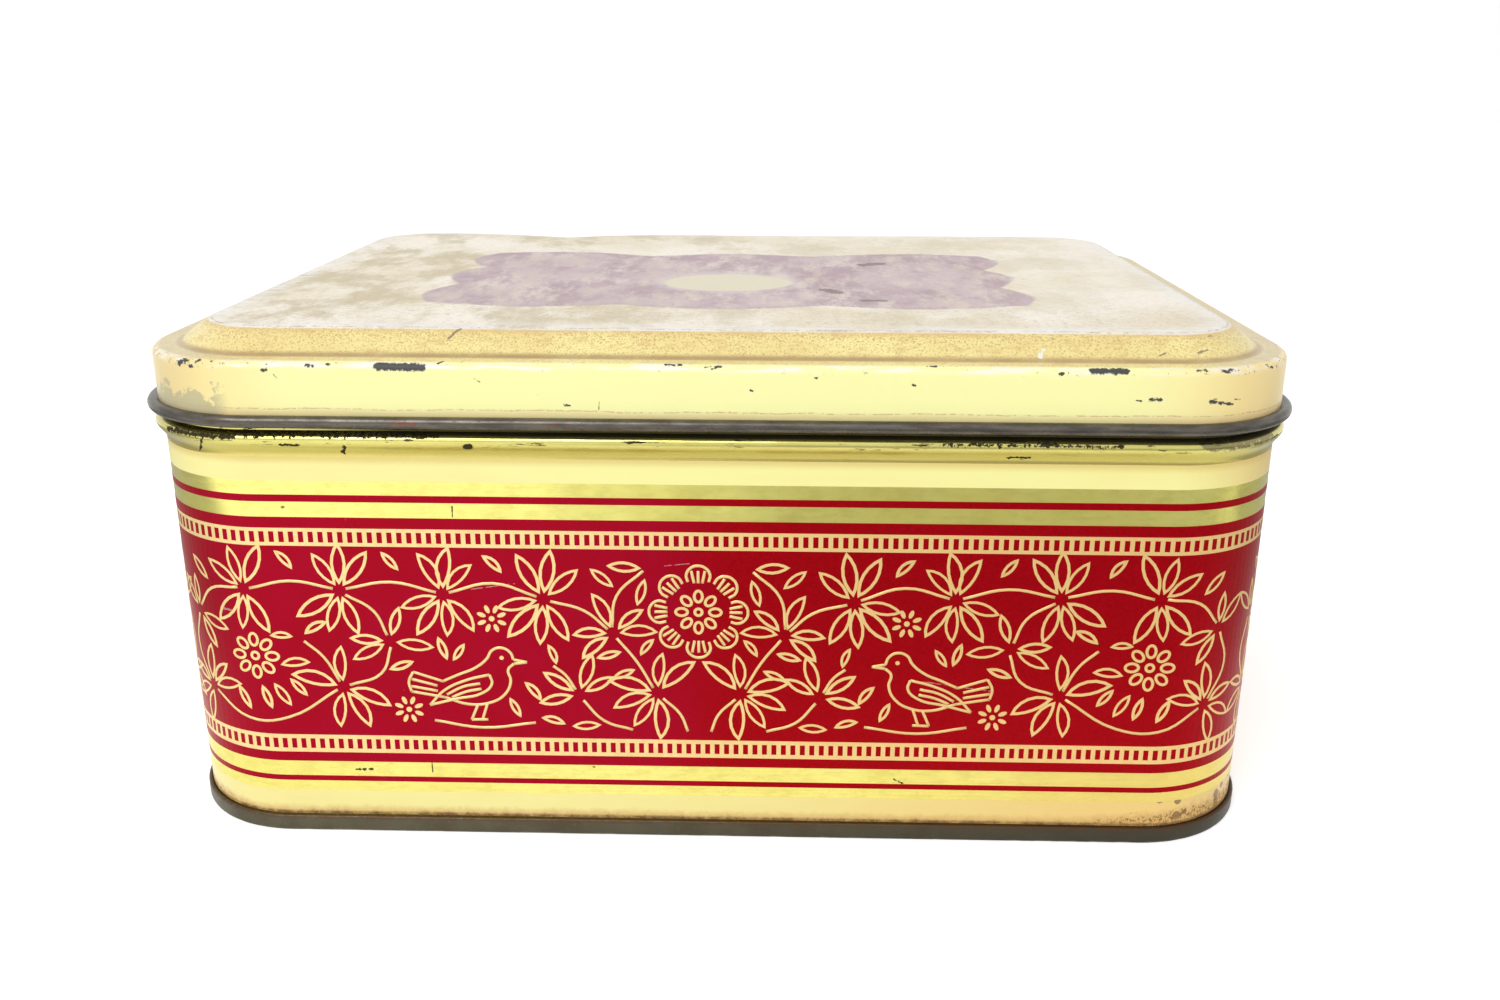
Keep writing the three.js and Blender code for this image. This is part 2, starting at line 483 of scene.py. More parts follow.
# A scratch or a knock: a ragged mark round the line from one place to another
scratch_group, (place, start, end, width, shake, ragged) = start_group(
    "scratch", {"Place": "Vector", "From": "Vector", "To": "Vector", "Width": "Float",
                "Shake": "Float", "Ragged": "Float"}, "Mark")
reach = end - start
offset = place - start
onto = calculate("DOT_PRODUCT", offset, reach, output="Value")
onto = lower(higher(onto / calculate("DOT_PRODUCT", reach, reach, output="Value"), 0.0), 1.0)
nearest = add_node(scratch_group, "VectorMath", {0: reach, "Scale": onto}, operation="SCALE")
away = calculate("DISTANCE", offset, Value(nearest.outputs[0]), output="Value")
end_group(scratch_group, ramp((away + (shake - 0.5) * ragged) / width, 1.15, 0.75))

# Small dark specks, where the coat has come off in spots
speck_group, (place, scale, amount) = start_group(
    "specks", {"Place": "Vector", "Scale": "Float", "Amount": "Float"}, "Mark")
cells = add_node(speck_group, "TexVoronoi", {"Vector": place, "Scale": scale})
luck = add_node(speck_group, "SeparateColor", {0: Value(cells.outputs["Color"])})
size = amount - Value(luck.outputs[0])
edge = Value(cells.outputs["Distance"]) + (cloud(place, 3.1, 3) - 0.5) * 0.25
end_group(speck_group, ramp(size * 2.2 - edge, 0.0, 0.08) * ramp(size, 0.0, 0.01))


def add_specks(place, scale, amount):
    """Scatters specks."""
    return use_group(speck_group, {"Place": place, "Scale": scale, "Amount": amount})


def add_marks(place, marks):
    """Adds up marks. Each row holds its two ends, half its width and how ragged it is."""
    total = 0.0
    shake = ramp(cloud(place, 1.1, 6, 0.7), 0.32, 0.68)
    for *ends, width, ragged in marks:
        mark = use_group(scratch_group, {"Place": place, "From": ends[:3], "To": ends[3:],
                                         "Width": width, "Shake": shake, "Ragged": ragged})
        total = higher(mark, total)
    return total


def on_strip(marks, across=0):
    """Puts rows of marks, whose ends are places along and up the flat strip, on the strip."""
    return [(along, across, height, far_along, across, far_height, width, ragged)
            for along, height, far_along, far_height, width, ragged in marks]


wall_marks = (
    (-99, 79.2, -84, 79.4, 0.36, 0.8), (-84, 79.7, -48, 79.8, 0.24, 0.9),
    (-89.5, 79.2, -92.3, 76.0, 0.20, 0.3), (-76, 78.2, -72.5, 78.1, 0.24, 0.4),
    (-64.6, 77.9, -65.2, 76.6, 0.30, 0.6), (-43, 78.1, -42.4, 78.1, 0.66, 0.3),
    (52, 76.9, 56, 76.9, 0.20, 0.4), (40, 79.3, 72, 79.2, 0.13, 0.9), (57, 79.6, 60, 79.5, 0.26, 0.9),
    (-54.0, 23.0, -53.8, 12.6, 0.11, 0.12), (-68.5, 13.0, -66.8, 13.0, 0.20, 0.4),
    (-65.9, 13.0, -65.5, 13.0, 0.22, 0.4), (34.6, 12.6, 36.2, 11.8, 0.22, 0.4),
    (-46.5, 66.5, -46.6, 64.5, 0.10, 0.2))
bead_rubs = ((86, 79.3, 91, 79.2, 0.8, 1.4), (91, 79.6, 101, 79.6, 0.9, 1.4))
gold_lacquer, shader = new_paint("gold_lacquer")
flat = flat_place(shader)
strip, _, height = split(flat)
streaks = cloud(flat * (0.01, 1, 3.0), 1.0, 3)
patches = cloud(flat * (0.05, 1, 0.02), 1.0, 3)
clouding = cloud(flat * (0.35, 1, 0.9), 0.9, 5, 0.7)
neck = ramp(height, 80.6, 81.2)
neck_rubs = cloud(flat * (1, 1, 0.12), 0.9, 5, 0.7)
bead_wear = (ramp(height, 77.4, 79.0) * ramp(neck, 1.0, 0.0)
             * ramp(cloud(flat * (0.12, 1, 1.0), 1.0, 6, 0.7), 0.58, 0.62))
# Warmer, darker gold low down, from right of the front's middle round the right corner, fading out along the
# right side
lower_right_tint = ramp(height, 40, 20) * ramp(strip, 30, 80, 0, 0.6) * ramp(strip, 220, 125)
# Painted shade: a dark band on the neck just above the bead, where the lid's curl shades the gap. It is
# weaker at the left end and towards the back
gap_shade = (ramp(height + patches * 0.3, 79.75, 80.05) * ramp(height + patches, 82.8, 82.2)
            * ramp(strip, -78, -52, 0.1, 1.0) * ramp(strip, 320, 180, 0.1, 1.0))
marked = flat * (1, 0, 1)
bare_and_gap_shade = higher(higher(bead_wear, add_marks(marked, on_strip(wall_marks))), gap_shade * 0.93)
gold = stain((0.83, 0.78, 0.23), ramp(patches, 0.35, 0.7), (0.78, 0.71, 0.19))
gold = stain(gold, ramp(streaks, 0.45, 0.75, 0, 0.15), (0.70, 0.62, 0.17))
gold = stain(gold, ramp(clouding, 0.42, 0.66, 0, 0.32), (0.58, 0.50, 0.12))
gold = stain(gold, ramp(height, 74.6, 75.8) * ramp(height, 77.6, 76.6) * 0.7, (0.62, 0.46, 0.12))
gold = stain(gold, neck * ramp(neck_rubs, 0.5, 0.66, 0, 0.65), (0.46, 0.42, 0.26))
# Painted shade: the gold on the bead and the neck is a darker copy of the gold on the bands
gold = stain(gold, ramp(height, 75.4, 76.2, 0, 0.50), (0.52, 0.47, 0.17))
gold = stain(gold, lower_right_tint, (0.64, 0.46, 0.13))
# Painted reflection: the lower half of the bead turns dark olive, standing in for the dark surroundings that
# it reflects
gold = stain(gold, ramp(height, 76.0, 76.6) * ramp(height, 78.7, 77.7) * 0.75, (0.45, 0.40, 0.085))
gold = stain(gold, add_marks(marked, on_strip(bead_rubs)) * 0.85, (0.22, 0.19, 0.10))
# Near-black where the lacquer is worn through to bare metal, and the painted shade in the gap under the lid's
# curl
gold = stain(gold, bare_and_gap_shade, (0.055, 0.045, 0.022))
gold = stain(gold, add_specks(flat * (1, 1, 1.6), 0.22, 0.06), (0.16, 0.13, 0.05))
waves = streaks * 0.006 + cloud(flat, 0.04, 2) * 1.6
fill(shader, {"Base Color": gold, "Metallic": 1.0, "Normal": relief(waves, 0.5, mm),
              "Roughness": ramp(streaks, 0.2, 0.8, 0.16, 0.28) + bare_and_gap_shade * 0.45})

plain_tin, shader = new_paint("plain_tin")
place = box_place(shader)
crystals = add_node(shader.id_data, "TexVoronoi", {"Vector": place, "Scale": 0.12})
crystal = add_node(shader.id_data, "SeparateColor", {0: Value(crystals.outputs["Color"])})
tarnish = ramp(cloud(place, 0.05, 5), 0.4, 0.75)
tin = stain((0.56, 0.55, 0.52), ramp(Value(crystal.outputs[0]), 0, 1, 0, 0.5), (0.47, 0.46, 0.43))
tin = stain(tin, tarnish, (0.30, 0.27, 0.20))
fill(shader, {"Base Color": tin, "Metallic": 1.0, "Roughness": ramp(tarnish, 0, 1, 0.3, 0.5)})

wall.data.materials.append(gold_lacquer)
wall.data.materials.append(plain_tin)
thicken(wall)
bpy.ops.object.select_all(action="DESELECT")
lock_place = (0, half_depth - tinplate - lock_depth / 2, (lock_foot + lock_head) / 2)
bpy.ops.mesh.primitive_cube_add(size=1, location=lock_place)
lock = bpy.context.object
lock.scale = (lock_width, lock_depth, lock_head - lock_foot)
settle()
modify(lock, "BEVEL", width=tinplate, segments=lock_round)
lock.data.materials.append(plain_tin)
wall = join_pieces("wall_strip", [wall, lock])
bpy.ops.object.shade_smooth_by_angle(angle=smooth_turn)
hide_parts("body_wall")
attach(wall, "box")

# Cream coat
# Two broad bands of cream enamel, printed on the strip above and below the gold bands.
cream_proud = 0.00002
cream_bands = ((0.0033, 0.00844), (0.07105, 0.07555))
coat_depth = 0.00006
print_bare_end = 0.0003


def print_coat(name, bands, proud):
    """Prints one colour: bands that go all round the box, each from one height to another."""
    printed = []
    for low, high in bands:
        bpy.ops.object.select_all(action="DESELECT")
        place = (print_bare_end - half_around, -half_depth - proud + coat_depth / 2, (low + high) / 2)
        bpy.ops.mesh.primitive_plane_add(size=1, location=place, rotation=(0, math.pi / 2, 0))
        band = bpy.context.object
        band.scale = (high - low, coat_depth, 1)
        settle()
        open_mesh()
        lay_out(print_bare_end)
        keep_flat_places(band)
        wrap_round(band)
        face_outwards(band)
        printed.append(band)
    return join_pieces(name, printed)


cream_coat = print_coat("cream_coat", cream_bands, cream_proud)
cream_enamel, shader = new_paint("cream_enamel")
flat = flat_place(shader)
strip, _, height = split(flat)
yellowing = cloud(flat * (0.02, 1, 0.1), 1.0, 4)
low = ramp(height, 20, 10)
fading = ramp(strip, 320, 180, 0.12, 1.0)
# Painted shade: warmer, darker cream low on the front towards the right, on the right corner and along the
# right side, fading towards the back
right_side_shade = higher(low * ramp(strip, -30, 90, 0.1, 0.85),
               ramp(strip, 80, 108, 0, 0.7) * ramp(strip, 220, 125, 0.2, 1.0)) * fading
pitted = cloud(flat, 0.5, 6, 0.75)
depth = lower(ramp(strip, 62, 98, 2.9, 7.2), ramp(strip, 220, 118, 4.6, 7.2)) + ramp(strip, -86, -106, 0, 1.8)
damp = height - pitted * depth
rust = ramp(damp, 2.9, 1.7)
rust_spots = ramp(cloud(flat, 1.6, 4, 0.7), 0.48, 0.58, 0.05, 1.0)
pits = add_specks(flat, 0.55, ramp(strip, 60, 96, 0, 0.30) * fading)
foot_line = ramp(height, 4.15, 3.55) * ramp(pitted, 0.35, 0.6, 0.35, 1.0)
cream = stain((0.98, 0.94, 0.38), ramp(yellowing, 0.35, 0.7), (0.97, 0.88, 0.34))
cream = stain(cream, ramp(height, 73.8, 75.4, 0, 0.55), (0.72, 0.50, 0.12))
cream = stain(cream, right_side_shade, (0.92, 0.62, 0.20))
cream = stain(cream, ramp(damp, 4.2, 2.4, 0, 0.5), (0.68, 0.38, 0.11))
cream = stain(cream, rust * rust_spots, (0.20, 0.075, 0.018))
cream = stain(cream, pits * low * 0.85, (0.24, 0.12, 0.04))
cream = stain(cream, ramp(height, 5.4, 3.3, 0, 0.40), (0.78, 0.48, 0.15))
cream = stain(cream, foot_line, (0.22, 0.11, 0.04))
cream = stain(cream, add_specks(flat, 0.28, 0.05), (0.20, 0.15, 0.06))
fill(shader, {"Base Color": cream, "Roughness": ramp(rust, 0, 1, 0.3, 0.65)})
cream_coat.data.materials.append(cream_enamel)
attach(cream_coat, "box")

# Red coat
# The field behind the gold ornament, two stripes and two fine lines, in one red ink.
red_proud = 0.00003
red_bands = ((0.02036, 0.05867), (0.01471, 0.01664), (0.06211, 0.0642),
             (0.01051, 0.01159), (0.06713, 0.06844))
red_scuffs = ((39, 33.2, 52, 31.4, 0.07, 0.15), (-44, 50.6, -36, 51.8, 0.06, 0.12),
              (-8.5, 55.6, -4.0, 56.1, 0.06, 0.1), (-91.8, 45.4, -89.6, 45.3, 0.22, 0.2))

red_coat = print_coat("red_coat", red_bands, red_proud)
red_ink, shader = new_paint("red_ink")
flat = flat_place(shader)
strip, _, _ = split(flat)
grain = cloud(flat, 1.9, 4, 0.7)
scuffs = add_marks(flat, on_strip(red_scuffs, -half_depth / mm))
red = stain((0.32, 0.0005, 0.003), ramp(grain, 0.3, 0.72), (0.41, 0.001, 0.008))
# Painted reflection: the left part of the front is a paler, bluer crimson, standing in for the sheen of light
# that it reflects
red = stain(red, ramp(strip, 6, -12) * ramp(strip, -104, -90), (0.385, 0.002, 0.020))
red = stain(red, ramp(cloud(flat, 0.12, 4), 0.3, 0.7, 0, 0.4), (0.35, 0.001, 0.004))
red = stain(red, add_specks(flat, 0.5, 0.05) * 0.5, (0.55, 0.12, 0.10))
red = stain(red, scuffs * 0.6, (0.70, 0.42, 0.36))
fill(shader, {"Base Color": red, "Metallic": 0.35, "Specular IOR Level": 0.06,
              "Roughness": ramp(grain, 0.2, 0.8, 0.26, 0.36)})
red_coat.data.materials.append(red_ink)
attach(red_coat, "box")

# Ladder rails
# A pale gold band above the red field and one below it, which the red bars of a ladder cross.
rail_proud = 0.00002
rail_bands = ((0.01664, 0.02036), (0.05867, 0.06211))

ladder_rails = print_coat("ladder_rails", rail_bands, rail_proud)
pale_gold, shader = new_paint("pale_gold")
flat = flat_place(shader)
strip, _, _ = split(flat)
tone = cloud(flat, 0.5, 4)
pale = stain((0.96, 0.74, 0.33), ramp(tone, 0.3, 0.7), (0.90, 0.66, 0.27))
pale = stain(pale, ramp(strip, -40, 60, 0, 0.6) * ramp(strip, 320, 180), (0.80, 0.50, 0.17))
pale = stain(pale, add_specks(flat, 0.6, 0.05), (0.12, 0.09, 0.05))
fill(shader, {"Base Color": pale, "Metallic": 0.35, "Roughness": ramp(tone, 0.2, 0.8, 0.3, 0.42)})
ladder_rails.data.materials.append(pale_gold)
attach(ladder_rails, "box")

# Ladder bars
# Short upright red bars, printed side by side on the pale rails all round the box.
bar_width = 0.00095
bar_height = 0.00205
bar_count = 384
bar_pitch = (half_around - print_bare_end) * 2 / bar_count
ladder_middles = (0.0185, 0.06039)

ladders = []
for ladder_middle in ladder_middles:
    bpy.ops.object.select_all(action="DESELECT")
    place = (bar_pitch / 2 + print_bare_end - half_around, -half_depth - red_proud + coat_depth / 2,
             ladder_middle)
    bpy.ops.mesh.primitive_cube_add(size=1, location=place)
    bars = bpy.context.object
    bars.scale = (bar_width, coat_depth, bar_height)
    settle()
    modify(bars, "ARRAY", count=bar_count, use_relative_offset=False, use_constant_offset=True,
           constant_offset_displace=(bar_pitch, 0, 0))
    keep_flat_places(bars)
    wrap_round(bars)
    ladders.append(bars)
ladder_bars = join_pieces("ladder_bars", ladders)
ladder_bars.data.materials.append(red_ink)
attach(ladder_bars, "box")

# Ornament
# A frieze in fine gold lines on the red: leaf sprays on curling stems, rosettes, daisies and small
# birds. It is drawn flat in millimetres, half a panel at a time, mirrored, and wrapped with the strip.
# A spray has a place, the length of its leaves and their headings, and a leaf of its own a place, a
# heading and a length. A stem and each line of a bird go through places.
line_width = 0.52
ornament_proud = 0.00005
ink_step = 0.0000004
line_steps = 5
weld_gap = line_width / 50
leaf_steps = 6
leaf_sway = 0.10
leaf_beat = 2.4
leaf_gap = 1.15
leaf_sizes = (4.8, 6.2, 8.0)
leaf_bellies = ((0.172, 0.172), (0.235, 0.115))
petals = 8
petal_shape = (14, 1.25, 0.92)
ring_corners = 12
daisy_shape = (8, 2.0, 1)
daisy_turn = 22.5
eye_corners = 10
small_rosette_size = (3.3, 1.2, 1.0)
great_rosette_size = (3.1, 1.1, 0.95)
daisy_size = (2.9, 0.44, 0.55)
hood_ring = 7.0
hood_reach = 2.1
hood_spread = 2.2
hood_turns = (-2.1, -1.4, -0.7, 0, 0.7, 1.4, 2.1)
fringe_foot = 1.3
fringe_length = 2.4
fringe_pitch = 0.75
fringe_spread = 0.5
front_axis = -2.4
side_axes = (172.1, -173.9)
side_start = 30.0
side_clear = 15
back_clear = 8
daisy_clear = 10
panel_sprays = (
    (7.8, 30.2, 8.0, (-92, -57, -22, 14, 98, 138)),
    (15.8, 42.2, 7.0, (-42, -4, 64, 140, 178)),
    (28.5, 48.8, 8.6, (-118, -84, -48, -12, 62, 100, 138)),
    (22.5, 29.6, 7.2, (-14, 34, 108, 150)),
    (47.0, 49.5, 8.0, (-126, -92, -57, -19, 62, 100, 134)),
    (66.0, 50.0, 8.2, (-108, -72, -32, 58, 92, 126)),
    (84.0, 50.0, 8.0, (-116, -82, -48, 34, 74, 114)),
    (96.3, 43.5, 6.8, (44, 84, 196, 238)),
    (95.0, 28.2, 7.2, (-76, -28, 20, 96, 132, 166)),
    (67.0, 30.5, 8.2, (-82, -118, -156, 92, 14)),
    (57.5, 40.0, 6.6, (-28, 4, 108, 188)),
    (74.4, 40.6, 4.8, (2, 150)),
    (46.6, 35.2, 4.8, (72, 124)),
)
panel_leaves = (
    (9.2, 55.0, 4, 6.4), (9.4, 54.2, -74, 5.6), (35.0, 53.0, 44, 5.0), (26.2, 34.6, 70, 4.4),
    (54.0, 53.2, 50, 4.8), (73.6, 53.2, 50, 4.8), (91.4, 49.8, 44, 6.0), (76.6, 25.4, 58, 5.6),
    (84.8, 24.2, 64, 5.4), (71.6, 35.6, -6, 5.8), (17.4, 23.4, -4, 5.6), (10.8, 35.4, -24, 4.8),
    (59.2, 33.8, 160, 5.2), (33.2, 23.6, 64, 4.6), (14.6, 50.6, 40, 5.6), (29.0, 27.2, 52, 5.0),
    (24.2, 23.0, 16, 4.8), (80.6, 24.6, 72, 5.2), (73.2, 27.6, 50, 4.8), (13.2, 38.8, -16, 5.0),
    (11.6, 36.8, 128, 4.4),
)
panel_stems = (
    ((2.2, 22.2), (3.6, 25.8), (6.8, 29.0)), ((8.6, 31.2), (11.6, 36.6), (15.2, 41.2)),
    ((16.0, 43.4), (15.0, 49.6), (10.0, 54.6)), ((16.8, 43.0), (21.0, 46.6), (27.2, 48.4)),
    ((29.7, 49.3), (37.6, 51.8), (45.8, 49.9)), ((48.2, 49.9), (56.4, 51.8), (64.8, 50.4)),
    ((67.2, 50.4), (75.2, 51.8), (82.8, 50.2)), ((85.2, 50.2), (91.6, 49.0), (95.8, 44.6)),
    ((97.0, 42.6), (99.2, 36.0), (95.8, 29.2)), ((12.6, 22.4), (18.0, 24.2), (21.8, 28.4)),
    ((23.2, 30.6), (25.0, 33.6), (27.2, 35.4)), ((65.0, 49.2), (60.0, 46.0), (57.9, 41.2)),
    ((57.4, 38.8), (59.6, 33.4), (65.8, 30.9)), ((67.6, 31.6), (70.2, 36.6), (73.6, 39.8)),
    ((68.2, 29.9), (78.0, 24.0), (86.0, 23.4), (93.8, 27.6)), ((31.0, 23.6), (41.0, 22.4), (50.2, 23.8)),
)
panel_rosette = (83.2, 36.6)
panel_daisies = ((54.9, 26.0), (38.2, 44.8))
panel_bird = (42.4, 31.4)
side_sprays = ((12.5, 30.0, 6.6, (-88, -50, -14, 22, 128, 166)),)
side_stems = (((0.0, 52.0), (8.0, 51.8), (15.8, 49.9)), ((2.2, 22.2), (4.6, 26.4), (11.4, 29.0)))
centre_height = 46.6
side_centre_height = 41.0
bird_scale = 0.92
bird_lines = (
    ((8.5, 5.6), (7.9, 7.2), (6.2, 8.2), (4.2, 7.6), (3.1, 5.8), (0.6, 3.7), (-3.0, 2.1), (-6.2, 0.6)),
    ((8.5, 4.7), (7.3, 3.4), (7.7, 0.9), (6.3, -2.2), (3.2, -4.1), (-1.2, -4.5), (-6.0, -3.0)),
    ((8.5, 5.6), (11.2, 5.1)), ((8.5, 4.7), (11.2, 5.1)),
    ((-6.2, 0.6), (-12.2, 2.6)), ((-6.0, -3.0), (-12.8, -1.8)),
    ((-12.2, 2.6), (-13.2, 0.4), (-12.8, -1.8)),
    ((-7.4, -0.4), (-12.6, 1.0)), ((-7.4, -1.6), (-12.8, -0.6)),
    ((3.4, 2.2), (-1.4, 0.9), (-6.0, -1.4), (-9.2, -4.8)),
    ((-9.2, -4.8), (-3.6, -3.3), (1.6, -2.0), (3.8, 0.2), (3.4, 2.2)),
    ((1.4, 0.2), (-2.2, -0.6), (-5.6, -2.4)), ((1.6, -1.0), (-1.6, -1.7), (-4.6, -3.0)),
    ((0.6, -4.7), (-0.8, -8.0)), ((2.6, -4.4), (1.4, -8.0)), ((-0.8, -8.0), (2.6, -7.9)),
)
bird_eye = (6.1, 6.0)
eye_width = 0.8


def draw_line(knots):
    """Draws a smooth line through some places with the nib, as a flat ribbon."""
    bpy.ops.curve.primitive_bezier_curve_add()
    line = bpy.context.object
    spline = line.data.splines[0]
    spline.bezier_points.add(len(knots) - 2)
    for knot, (along, height) in zip(spline.bezier_points, knots):
        knot.co = (along * mm, height * mm, 0)
        knot.handle_left_type = knot.handle_right_type = "AUTO"
    line.data.dimensions = "2D"
    line.data.fill_mode = "NONE"
    line.data.resolution_u = line_steps
    line.data.bevel_mode = "OBJECT"
    line.data.bevel_object = nib
    bpy.ops.object.convert(target="MESH")
    return bpy.context.object


def draw_disc(along, height, radius, corners):
    """Draws a solid round spot."""
    bpy.ops.mesh.primitive_circle_add(vertices=corners, radius=radius * mm, fill_type="NGON",
                                      location=(along * mm, height * mm, 0))
    return bpy.context.object


def keep_outline():
    """Leaves only a line round what is selected."""
    bpy.ops.mesh.inset(thickness=line_width * mm, depth=0)
    bpy.ops.mesh.delete(type="FACE")


def weld():
    """Closes the joints of a motif."""
    bpy.ops.mesh.select_all(action="SELECT")
    bpy.ops.mesh.remove_doubles(threshold=weld_gap * mm)


def start_petal(along, radius, corners, long, wide):
    """Starts a flower with one oval petal, which lies along X."""
    draw_disc(along, 0, radius, corners)
    settle()
    open_mesh()
    bpy.ops.transform.resize(value=(long, wide, 1), center_override=(along * mm, 0, 0))


def repeat_petal():
    """Repeats the petal all round the flower."""
    bpy.ops.mesh.select_all(action="SELECT")
    bpy.ops.mesh.spin(steps=petals, angle=math.pi * 2, center=(0, 0, 0), axis=(0, 0, 1), dupli=True)


def model_leaf(length, bellies):
    """Models the outline of one pointed leaf, which lies along X from its foot."""
    bpy.ops.mesh.primitive_plane_add(size=mm)
    open_mesh()
    bpy.ops.mesh.merge(type="CENTER")
    for side, share in zip((-1, 1), bellies):
        belly = length * share
        radius = (length ** 2 / 4 + belly ** 2) / (2 * belly)
        bpy.ops.mesh.spin(steps=leaf_steps, angle=2 * math.asin(length / (2 * radius)),
                          center=(length * mm / 2, side * (radius - belly) * mm, 0), axis=(0, 0, 1))
    weld()
    bpy.ops.mesh.edge_face_add()
    keep_outline()
    close_mesh()
    return bpy.context.object


def model_rosette(radius, petal, ring):
    """Models eight outlined petals round a small ring."""
    start_petal(radius, petal, *petal_shape)
    keep_outline()
    repeat_petal()
    draw_disc(0, 0, ring, ring_corners)
    keep_outline()
    weld()
    close_mesh()
    return bpy.context.object


def model_daisy(reach, petal, eye):
    """Models eight solid petals round a solid eye."""
    start_petal(reach - petal * 2, petal, *daisy_shape)
    repeat_petal()
    draw_disc(0, 0, eye, eye_corners)
    weld()
    close_mesh()
    return bpy.context.object


def place_copy(model, along, height, heading=0.0, stretch=1.0, flip=1):
    """Copies a modelled motif, with a mesh of its own, to its place and heading on the sheet."""
    copy = model.copy()
    copy.data = model.data.copy()
    bpy.context.scene.collection.objects.link(copy)
    copy.location = (along * mm, height * mm, 0)
    copy.rotation_euler = (0, 0, math.radians(heading))
    copy.scale = (stretch, stretch * flip, 1)
    return copy


def draw_leaf(along, height, heading, length):
    """Places one leaf. Its foot keeps a little clear of the place that it grows from."""
    size = min(leaf_sizes, key=lambda known: abs(known - length))
    belly = leaf_bellies[round(along * 7 + heading) % 2]
    flip = 1 if math.cos(math.radians(heading)) > 0 else -1
    foot_along = along + leaf_gap * math.cos(math.radians(heading))
    foot_height = height + leaf_gap * math.sin(math.radians(heading))
    return place_copy(leaf_models[size, belly], foot_along, foot_height, heading, length / size, flip)


def draw_growth(sprays, leaves, stems, start, beyond):
    """Draws the sprays, leaves and stems that lie beyond a place, measured from the start."""
    drawn = []
    for along, height, length, headings in sprays:
        if along > beyond:
            for count, heading in enumerate(headings):
                reach = length * (1 + leaf_sway * math.sin(leaf_beat * count + along))
                drawn.append(draw_leaf(along - start, height, heading, reach))
    drawn += [draw_leaf(along - start, height, heading, length)
              for along, height, heading, length in leaves if along > beyond]
    drawn += [draw_line([(along - start, height) for along, height in knots])
              for knots in stems if knots[0][0] > beyond]
    return drawn


def draw_half_panel(start, beyond, sprays=(), stems=()):
    """Draws what grows in a half panel, and more sprays and stems, then its rosette and daisies."""
    drawn = draw_growth(panel_sprays, panel_leaves, panel_stems, start, beyond)
    drawn += draw_growth(sprays, (), stems, 0, -1)
    along, height = panel_rosette
    drawn.append(place_copy(small_rosette, along - start, height))
    return drawn + [place_copy(daisy, along - start, height, daisy_turn) for along, height in panel_daisies
                    if along > start + daisy_clear]


def draw_bird(along, height):
    """Draws a small songbird that faces back towards the middle of the panel."""
    lines = [draw_line([(along - x * bird_scale, height + y * bird_scale) for x, y in knots])
             for knots in bird_lines]
    return lines + [draw_disc(along - bird_eye[0] * bird_scale, height + bird_eye[1] * bird_scale,
                              line_width * eye_width, eye_corners)]


def draw_great_rosette(height):
    """Draws the rosette in the middle of a panel: a small one in a ring of eight fringed petals."""
    drawn = [place_copy(great_rosette, 0, height)]
    for count in range(petals):
        turn = math.pi * 2 * count / petals
        outward = Vector((math.cos(turn), math.sin(turn)))
        across = Vector((-math.sin(turn), math.cos(turn)))
        middle = Vector((0, height)) + outward * hood_ring
        drawn.append(draw_line([middle + outward * hood_reach * math.cos(share)
                                + across * hood_spread * math.sin(share) for share in hood_turns]))
        for side in (-1, 0, 1):
            foot = middle - outward * fringe_foot + across * side * fringe_pitch
            drawn.append(draw_line([foot, foot + outward * fringe_length + across * side * fringe_spread]))
    return drawn


def finish_panel(pieces, axis, both=True):
    """Joins a half panel, mirrors it where both halves are wanted, and moves it to its axis."""
    for count, piece in enumerate(pieces):
        piece.location.z += ink_step * count
    half = join_pieces("half_panel", pieces)
    settle()
    if both:
        bpy.ops.object.duplicate()
        other = bpy.context.object
        other.scale.x = -1
        other.location.z = ink_step / 2
        half = join_pieces("panel", [half, other])
    half.location.x = axis * mm
    settle()
    return half


bpy.ops.object.select_all(action="DESELECT")
bpy.ops.curve.primitive_bezier_curve_add()
nib = bpy.context.object
for knot, side in zip(nib.data.splines[0].bezier_points, (-1, 1)):
    knot.handle_left_type = knot.handle_right_type = "VECTOR"
    knot.co = (side * line_width * mm / 2, 0, 0)
nib.data.resolution_u = 1
leaf_models = {(size, bellies): model_leaf(size, bellies)
               for size in leaf_sizes for bellies in leaf_bellies}
small_rosette = model_rosette(*small_rosette_size)
great_rosette = model_rosette(*great_rosette_size)
daisy = model_daisy(*daisy_size)

panels = [finish_panel(draw_half_panel(0, 0) + draw_bird(*panel_bird), front_axis),
          finish_panel(draw_great_rosette(centre_height), front_axis, both=False)]
for side_axis in side_axes:
    panels.append(finish_panel(draw_half_panel(side_start, side_start + side_clear,
                                               side_sprays, side_stems), side_axis))
    panels.append(finish_panel(draw_great_rosette(side_centre_height), side_axis, both=False))
for side in (1, -1):
    back_half = finish_panel(draw_half_panel(0, back_clear) + draw_bird(*panel_bird), 0, both=False)
    back_half.scale.x = -side
    back_half.location.x = side * half_around
    settle()
    panels.append(back_half)
for motif in (nib, small_rosette, great_rosette, daisy, *leaf_models.values()):
    bpy.data.objects.remove(motif)
ornament = join_pieces("ornament", panels)
ornament.rotation_euler.x = math.pi / 2
ornament.location.y = -half_depth - ornament_proud + coat_depth / 2
settle()
take_up(ornament, edit=True)
bpy.ops.mesh.select_mode(type="FACE")
bpy.ops.mesh.select_all(action="DESELECT")
close_mesh()
for face in ornament.data.polygons:
    face.select = face.normal.y > 0
open_mesh()
bpy.ops.mesh.flip_normals()
bpy.ops.mesh.select_mode(type="VERT")
close_mesh()
modify(ornament, "SOLIDIFY", thickness=coat_depth, offset=0)
keep_flat_places(ornament)
wrap_round(ornament)
ornament.data.materials.clear()
